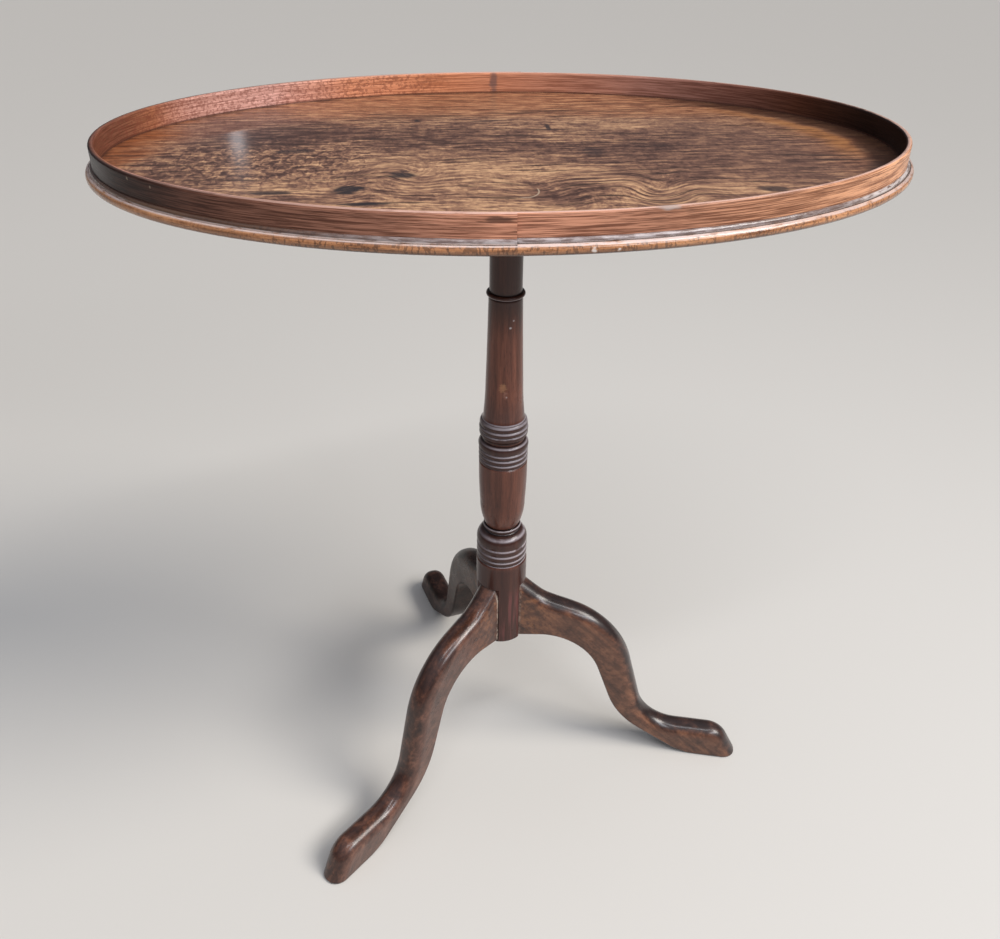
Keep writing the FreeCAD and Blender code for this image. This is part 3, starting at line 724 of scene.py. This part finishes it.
def bead_material(name, facing):
    """Edge bead: orange-brown with short dark ticks, a strip against the band dark as painted shade at the
    left and pale with wear and a painted sheen elsewhere, a crown with a painted highlight, and painted shade
    below.
    """
    material, t = new_material(name)
    place = t.object_place()
    space = wrapped_space(t, place, facing)[0]
    x, y, z = t.axes(place)
    grain = t.place(LONG_GRAIN, Vector=space, Streak_Length=0.06, Streak_Width=0.0028, Wander=0.004,
                    Pore_Length=0.004, Pore_Width=0.0008)
    tick = t.long_noise(space, 620.0, 200.0, detail=2.0)
    colour = t.ramp(t.weighted((grain["Streaks"], 0.75), (tick, 0.25)), BEAD_TONES)
    ticked = t.times(t.smooth(tick, 0.52, 0.60), t.smooth(x, *TICKED_FROM_LEFT))
    colour = t.lay(colour, ticked, 0.65, TICK_DARK)
    colour = t.lay(colour, grain["Pores"], 0.5, BEAD_PORE)
    colour = strip_wear_and_painted_light(t, colour, space, x, y, z)
    # Painted shade on the bead's lower half.
    low = t.times(t.smooth(z, *BEAD_SHADE_SPAN), t.smooth(x, *BEAD_SHADE_FROM_LEFT, 0.6, 1.0))
    colour = t.lay(colour, low, 0.75, BEAD_UNDERSIDE_PAINTED_SHADE)
    dirt = t.times(crevice_dirt_and_shade(t, depth=0.0022, reach=1.5), t.smooth(x, *BEAD_DIRT_FROM_LEFT, 0.3, 1.0))
    colour = t.lay(colour, dirt, 0.9, BEAD_DIRT)
    for centre, size in BEAD_CHIPS:
        chip = patch(t, place, centre, (size, size, size), ragged=1.4, grain=600.0)
        colour = t.lay(colour, chip, 0.80, CHIP_PALE)
    wax = t.place(WAXED_SURFACE, Vector=space, Pores=grain["Pores"], Fibres=tick, Smooth=0.22, Dull=0.42)
    finish_wood(t, colour, wax["Roughness"], wax["Height"], coat=0.70, relief=0.00010, coat_roughness=0.16)
    return material


# Turned rings of the column: their heights, and the slope where the painted highlight on their upper flank
# begins
RINGS = [
    (0.2612, 0.2838, 0.20), (0.2838, 0.3000, 0.46), (0.3005, 0.3062, 0.20),
    (0.3836, 0.4010, 0.20), (0.4010, 0.4110, 0.42), (0.4110, 0.4345, 0.20),
]
RING_FADE = 0.0006
FLANK_RISE = 0.20
# Slopes between which a ring's flank turns into its top, and where the painted highlight comes in from the
# left
FLANK_END_SPAN = (0.84, 0.62)
FLANK_HIGHLIGHT_FROM_LEFT = (-0.024, -0.006)
# Heights on the column
BULB_SPAN = (0.300, 0.310, 0.380, 0.386)
BOSS_SPAN = (0.27, 0.255)
BOSS_FOOT_SPAN = (0.236, 0.212)
FLARE_SPAN = (0.432, 0.435, 0.438, 0.468)
NECK_SHADOW_SPAN = (0.515, 0.562)
NECKING_LINE_SPAN = (0.5616, 0.5620, 0.5626, 0.5632)
COLUMN_TONES = [(0.30, (0.060, 0.019, 0.012)), (0.50, (0.146, 0.047, 0.028)), (0.70, (0.265, 0.090, 0.052))]
COLUMN_PORE = (0.030, 0.011, 0.008)
BULB_DARK = (0.048, 0.021, 0.017)
BOSS_DARK = (0.030, 0.014, 0.013)
BOSS_FOOT_RED = (0.170, 0.052, 0.050)
NECK_PAINTED_SHADOW = (0.026, 0.010, 0.008)
COLUMN_RUBBED = (0.240, 0.130, 0.095)
FLARE_DARK = (0.050, 0.030, 0.030)
RING_DARK = (0.029, 0.014, 0.013)
RING_FLANK_HIGHLIGHT = (0.490, 0.435, 0.465)
NECKING_HIGHLIGHT = (0.300, 0.250, 0.250)
GROOVE_DIRT_AND_SHADE = (0.006, 0.004, 0.004)
# Marks on the shaft: centre, half sizes, raggedness, strength and colour. Heights count for less in them.
SHAFT_MARKS = [
    ((-0.003, -0.017, 0.4745), (0.0046, 0.010, 0.0042), 2.4, 0.62, (0.400, 0.190, 0.090)),
    ((-0.001, -0.017, 0.4660), (0.0030, 0.010, 0.0048), 2.4, 0.45, (0.330, 0.150, 0.105)),
    ((0.0060, -0.0147, 0.5423), (0.0014, 0.003, 0.0010), 1.2, 0.70, (0.560, 0.500, 0.500)),
    ((0.0030, -0.0157, 0.5353), (0.0015, 0.003, 0.0010), 1.2, 0.80, (0.600, 0.540, 0.540)),
    ((0.0003, -0.0182, 0.4645), (0.0012, 0.003, 0.0009), 1.2, 0.60, (0.520, 0.420, 0.400)),
]
MARK_HEIGHT_SCALE = 0.7


def draw_rings(t, colour, place, x, z):
    """Dark turned rings with a painted highlight on their upper flanks that fades out to the left, and a
    painted highlight line under the necking ring.
    """
    upwards = t.axes(t.normal())[2]
    # Painted highlight on the rings' upper flanks, fading out to the left.
    flank_highlight = t.times(t.smooth(upwards, *FLANK_END_SPAN), t.smooth(t.noise(place, scale=70.0), 0.22, 0.46),
                    t.smooth(x, *FLANK_HIGHLIGHT_FROM_LEFT, 0.40, 1.0))
    for low, high, slope in RINGS:
        ring = t.span(z, low, low + RING_FADE, high - RING_FADE, high)
        flank = t.times(ring, flank_highlight, t.smooth(upwards, slope, slope + FLANK_RISE))
        colour = t.lay(colour, ring, 0.84, RING_DARK)
        colour = t.lay(colour, flank, 0.70, RING_FLANK_HIGHLIGHT)
    # A painted highlight line on the lower half of the necking ring.
    return t.lay(colour, t.span(z, *NECKING_LINE_SPAN), 0.50, NECKING_HIGHLIGHT)


def column_material():
    """Turned column: dark red-brown, upright grain, rubbed edges, rings with a painted highlight on their
    upper flanks, grooves nearly black with dirt and painted shade, a painted shadow over the neck, and marks
    on the shaft.
    """
    material, t = new_material("turned_wood")
    place = t.object_place()
    x, y, z = t.axes(place)
    space = t.combine(z, x, y)
    grain = t.place(LONG_GRAIN, Vector=space, Streak_Length=0.10, Streak_Width=0.006, Wander=0.008,
                    Pore_Length=0.008, Pore_Width=0.0006)
    colour = t.ramp(t.weighted((grain["Streaks"], 0.75), (grain["Fibres"], 0.25)), COLUMN_TONES)
    colour = t.lay(colour, grain["Pores"], 0.4, COLUMN_PORE)
    colour = t.lay(colour, t.span(z, *BULB_SPAN), 0.36, BULB_DARK)
    colour = t.lay(colour, t.smooth(z, *BOSS_SPAN), 0.78, BOSS_DARK)
    boss_foot = t.times(t.smooth(z, *BOSS_FOOT_SPAN), t.smooth(grain["Streaks"], 0.46, 0.60))
    colour = t.lay(colour, boss_foot, 0.55, BOSS_FOOT_RED)
    # Painted shadow of the top over the neck.
    colour = t.lay(colour, t.smooth(z, *NECK_SHADOW_SPAN), 0.80, NECK_PAINTED_SHADOW)
    colour = t.lay(colour, worn_edges(t, radius=0.0012, patch_scale=60.0, reach=0.9), 0.40, COLUMN_RUBBED)
    colour = t.lay(colour, t.span(z, *FLARE_SPAN), 0.45, FLARE_DARK)
    colour = draw_rings(t, colour, place, x, z)
    mark_place = t.vector("MULTIPLY", place, (1.0, 1.0, MARK_HEIGHT_SCALE))
    for (mark_x, mark_y, mark_z), size, ragged, amount, paint in SHAFT_MARKS:
        centre = (mark_x, mark_y, mark_z * MARK_HEIGHT_SCALE)
        mark = patch(t, mark_place, centre, size, ragged, grain=420.0, core=0.1)
        colour = t.lay(colour, mark, amount, paint)
    # Grooves nearly black, partly dirt and partly painted shade.
    colour = t.lay(colour, crevice_dirt_and_shade(t, depth=0.005, reach=2.3), 0.92, GROOVE_DIRT_AND_SHADE)
    wax = t.place(WAXED_SURFACE, Vector=space, Pores=grain["Pores"], Fibres=grain["Fibres"],
                  Smooth=0.24, Dull=0.42)
    finish_wood(t, colour, wax["Roughness"], wax["Height"], coat=0.45, relief=0.00008,
                coat_roughness=0.15, gloss=0.12)
    return material


# Each leg: its heading in degrees, the tones of its sides and of its crest from dark to light figure,
# how squarely a face must look sideways to count as a side, its polish, its gloss,
# and how much old glue shows at its shoulder. The crest's tones are darker than the sides' as painted shade
LEGS = {
    "leg_right": {
        "heading": -14.15,
        "sides": ((0.036, 0.014, 0.009), (0.115, 0.047, 0.027), (0.240, 0.102, 0.054)),
        "crest": ((0.010, 0.006, 0.006), (0.026, 0.013, 0.011), (0.100, 0.044, 0.030)),
        "side_span": (0.55, 0.95), "polish": 0.60, "gloss": 0.25, "glue": 0.25,
    },
    # The back leg's tones are darker than the other legs' as painted shade.
    "leg_back": {
        "heading": 105.85,
        "sides": ((0.024, 0.012, 0.009), (0.054, 0.027, 0.019), (0.105, 0.052, 0.036)),
        "crest": ((0.008, 0.005, 0.004), (0.022, 0.011, 0.009), (0.080, 0.037, 0.026)),
        "side_span": (0.84, 0.98), "polish": 0.10, "gloss": 0.10, "glue": 0.15,
    },
    "leg_front_left": {
        "heading": 225.85,
        "sides": ((0.036, 0.017, 0.013), (0.100, 0.046, 0.033), (0.195, 0.092, 0.062)),
        "crest": ((0.010, 0.005, 0.005), (0.058, 0.023, 0.015), (0.200, 0.080, 0.046)),
        "side_span": (0.55, 0.95), "polish": 0.60, "gloss": 0.25, "glue": 0.70,
    },
}
SIDE_LEVELS = (0.36, 0.50, 0.64)
CREST_LEVELS = (0.36, 0.50, 0.66)
LEG_GRAIN_SLOPE = -42.0        # degrees
# Distances from the column's axis
NEAR_BOSS_SPAN = (0.075, 0.035)
SHOULDER_REACH = 0.0223
GLUE_SPAN = (SHOULDER_REACH + 0.0030, SHOULDER_REACH + 0.0014)
LEG_RUSTY = (0.310, 0.125, 0.050)
LEG_RUBBED = (0.250, 0.130, 0.090)
LEG_PORE = (0.016, 0.008, 0.006)
LEG_DIRT = (0.012, 0.007, 0.006)
GLUE_PALE = (0.430, 0.350, 0.290)


def leg_material(name, leg):
    """Cabriole leg: a polished crest in darker tones than the redder mottled sides, as painted shade; worn
    arrises; dirt where it meets the boss.
    """
    material, t = new_material("wood_" + name)
    heading = math.radians(leg["heading"])
    straighten = {"Vector": t.object_place(), "Angle": -heading}
    turned = t.node("VectorRotate", straighten, rotation_type="Z_AXIS").outputs[0]
    slope = {"Vector": turned, "Angle": math.radians(LEG_GRAIN_SLOPE)}
    space = t.node("VectorRotate", slope, rotation_type="Y_AXIS").outputs[0]
    reach = t.axes(turned)[0]
    grain = t.place(LONG_GRAIN, Vector=space, Streak_Length=0.05, Streak_Width=0.007, Wander=0.02,
                    Pore_Length=0.006, Pore_Width=0.0007)
    mottle = t.noise(turned, scale=55.0, detail=6.0, roughness=0.68, distortion=0.6)
    speckle = t.noise(turned, scale=260.0, roughness=0.6)
    tone = t.weighted((grain["Streaks"], 0.40), (mottle, 0.45), (speckle, 0.15))
    side_colour = t.ramp(tone, list(zip(SIDE_LEVELS, leg["sides"])))
    # The crest's tones are darker than the sides' as painted shade.
    shaded_crest_colour = t.ramp(tone, list(zip(CREST_LEVELS, leg["crest"])))
    sideways = (-math.sin(heading), math.cos(heading), 0.0)
    facing = t.math("ABSOLUTE", t.vector("DOT_PRODUCT", t.normal(), sideways))
    side = t.smooth(t.math("MULTIPLY_ADD", t.centred(mottle), 0.5, facing), *leg["side_span"])
    colour = t.mix(side, shaded_crest_colour, side_colour)
    near_boss = t.times(t.smooth(reach, *NEAR_BOSS_SPAN), side)
    rusty = t.times(near_boss, t.smooth(t.weighted((mottle, 0.6), (speckle, 0.4)), 0.46, 0.60))
    colour = t.lay(colour, rusty, 0.40, LEG_RUSTY)
    colour = t.lay(colour, worn_edges(t, radius=0.0025, patch_scale=90.0, reach=0.8), 0.40, LEG_RUBBED)
    colour = t.lay(colour, grain["Pores"], 0.5, LEG_PORE)
    colour = t.lay(colour, crevice_dirt_and_shade(t, depth=0.008, reach=1.2), 0.8, LEG_DIRT)
    glue = t.times(t.smooth(reach, *GLUE_SPAN), side, t.smooth(speckle, 0.40, 0.55))
    colour = t.lay(colour, glue, leg["glue"], GLUE_PALE)
    wax = t.place(WAXED_SURFACE, Vector=space, Pores=grain["Pores"], Fibres=speckle, Smooth=0.24, Dull=0.46)
    finish_wood(t, colour, wax["Roughness"], wax["Height"], coat=leg["polish"], relief=0.00010,
                coat_roughness=0.20, gloss=leg["gloss"])
    return material


BEARER_TONES = [(0.30, (0.090, 0.046, 0.026)), (0.50, (0.180, 0.100, 0.055)), (0.70, (0.290, 0.175, 0.100))]
BEARER_PORE = (0.04, 0.02, 0.012)
BEARER_DIRT = (0.03, 0.018, 0.012)


def bearer_material():
    """Planed, unpolished wood under the top."""
    material, t = new_material("bearer_wood")
    x, y, z = t.axes(t.object_place())
    space = t.combine(y, x, z)
    grain = t.place(LONG_GRAIN, Vector=space, Streak_Length=0.14, Streak_Width=0.006, Wander=0.01)
    colour = t.ramp(grain["Streaks"], BEARER_TONES)
    colour = t.lay(colour, grain["Pores"], 0.5, BEARER_PORE)
    colour = t.lay(colour, crevice_dirt_and_shade(t, depth=0.012, reach=1.1), 0.7, BEARER_DIRT)
    wax = t.place(WAXED_SURFACE, Vector=space, Pores=grain["Pores"], Fibres=grain["Fibres"],
                  Smooth=0.55, Dull=0.75)
    finish_wood(t, colour, wax["Roughness"], wax["Height"], coat=0.0, relief=0.0002)
    return material


SCREW_IRON = (0.16, 0.15, 0.14)
PIN_IRON = (0.14, 0.13, 0.12)
RUST_BROWN = (0.12, 0.055, 0.03)


def iron_material(name, tone):
    """Old iron: dark, dull, with brown rust."""
    material, t = new_material(name)
    rust = t.smooth(t.noise(t.object_place(), scale=420.0, detail=4.0), 0.45, 0.65)
    bump = t.node("Bump", {"Height": rust, "Distance": 0.0001})
    t.show(t.node("BsdfPrincipled", {
        "Base Color": t.mix(rust, rgb(tone), rgb(RUST_BROWN)),
        "Roughness": t.smooth(rust, 0.0, 1.0, 0.42, 0.75),
        "Metallic": t.smooth(rust, 0.0, 1.0, 0.9, 0.1),
        "Normal": bump.outputs[0]}))
    return material


def dress(node, material):
    """Gives a CAD node its material."""
    mesh = nodes[node].data
    mesh.materials.clear()
    mesh.materials.append(material)


def dress_all():
    dress("tray_board", board_material())
    dress("gallery_band_left", band_material("bent_band_left", -1.0))
    dress("gallery_band_right", band_material("bent_band_right", 1.0))
    dress("edge_bead_left", bead_material("edge_bead_left", -1.0))
    dress("edge_bead_right", bead_material("edge_bead_right", 1.0))
    dress("column", column_material())
    for node, leg in LEGS.items():
        dress(node, leg_material(node, leg))
    bearer_wood = bearer_material()
    dress("bearer", bearer_wood)
    dress("tenon_wedge", bearer_wood)
    dress("bearer_screws", iron_material("iron_screw", SCREW_IRON))
    dress("gallery_pins", iron_material("iron_pin", PIN_IRON))


def add_object(name, data, matrix):
    thing = bpy.data.objects.new(name, data)
    thing.matrix_world = matrix
    bpy.context.scene.collection.objects.link(thing)
    return thing


def add_camera():
    data = bpy.data.cameras.new("camera")
    data.lens = CAMERA_LENS
    data.sensor_width = SENSOR_WIDTH
    data.sensor_fit = "HORIZONTAL"
    turn = Matrix.Rotation(-math.radians(CAMERA_HEADING), 4, "Z")
    tilt = Matrix.Rotation(math.radians(90.0 - CAMERA_PITCH), 4, "X")
    roll = Matrix.Rotation(math.radians(CAMERA_ROLL), 4, "Z")
    camera = add_object("camera", data, Matrix.Translation(CAMERA_PLACE) @ turn @ tilt @ roll)
    bpy.context.scene.camera = camera


def add_floor():
    half = FLOOR_HALF
    mesh = bpy.data.meshes.new("floor")
    corners = [(-half, -half, 0), (half, -half, 0), (half, half, 0), (-half, half, 0)]
    mesh.from_pydata(corners, [], [(0, 1, 2, 3)])
    material, t = new_material("pale_floor")
    t.show(t.node("BsdfPrincipled", {"Base Color": rgb(FLOOR_COLOUR), "Roughness": FLOOR_ROUGHNESS}))
    mesh.materials.append(material)
    floor = add_object("floor", mesh, Matrix())


def add_lamp(name, place, aim, size, power, colour, shape):
    data = bpy.data.lights.new(name, "AREA")
    data.shape = shape
    data.size, data.size_y = size
    data.energy = power
    data.color = colour
    facing = (Vector(aim) - Vector(place)).to_track_quat("-Z", "Y").to_matrix().to_4x4()
    add_object(name, data, Matrix.Translation(place) @ facing)


def add_sun():
    data = bpy.data.lights.new("key", "SUN")
    data.energy = SUN_STRENGTH
    data.angle = math.radians(SUN_ANGLE)
    data.color = SUN_COLOUR
    turn = Matrix.Rotation(math.radians(SUN_HEADING), 4, "Z")
    tilt = Matrix.Rotation(math.radians(90.0 - SUN_HEIGHT), 4, "Y")
    add_object("key", data, turn @ tilt)


def add_world():
    """A studio that is dark low down behind the table and bright overhead and in front."""
    world = bpy.data.worlds.new("studio")
    world.use_nodes = True
    world.node_tree.nodes.clear()
    t = Tree(world.node_tree)
    back, up = t.axes(t.node("TexCoord").outputs["Generated"])[1:]
    height = t.weighted((up, 1.0), (back, SKY_LOWER_BEHIND))
    sky = t.ramp(t.smooth(height, *SKY_SPAN), SKY_TONES)
    t.show(t.node("Background", {"Color": sky, "Strength": 1.0}), "OutputWorld")
    bpy.context.scene.world = world


def main():
    dress_all()
    add_camera()
    add_floor()
    add_world()
    add_sun()
    for lamp in LAMPS:
        add_lamp(*lamp)
    bpy.context.scene.view_settings.view_transform = "Standard"


main()
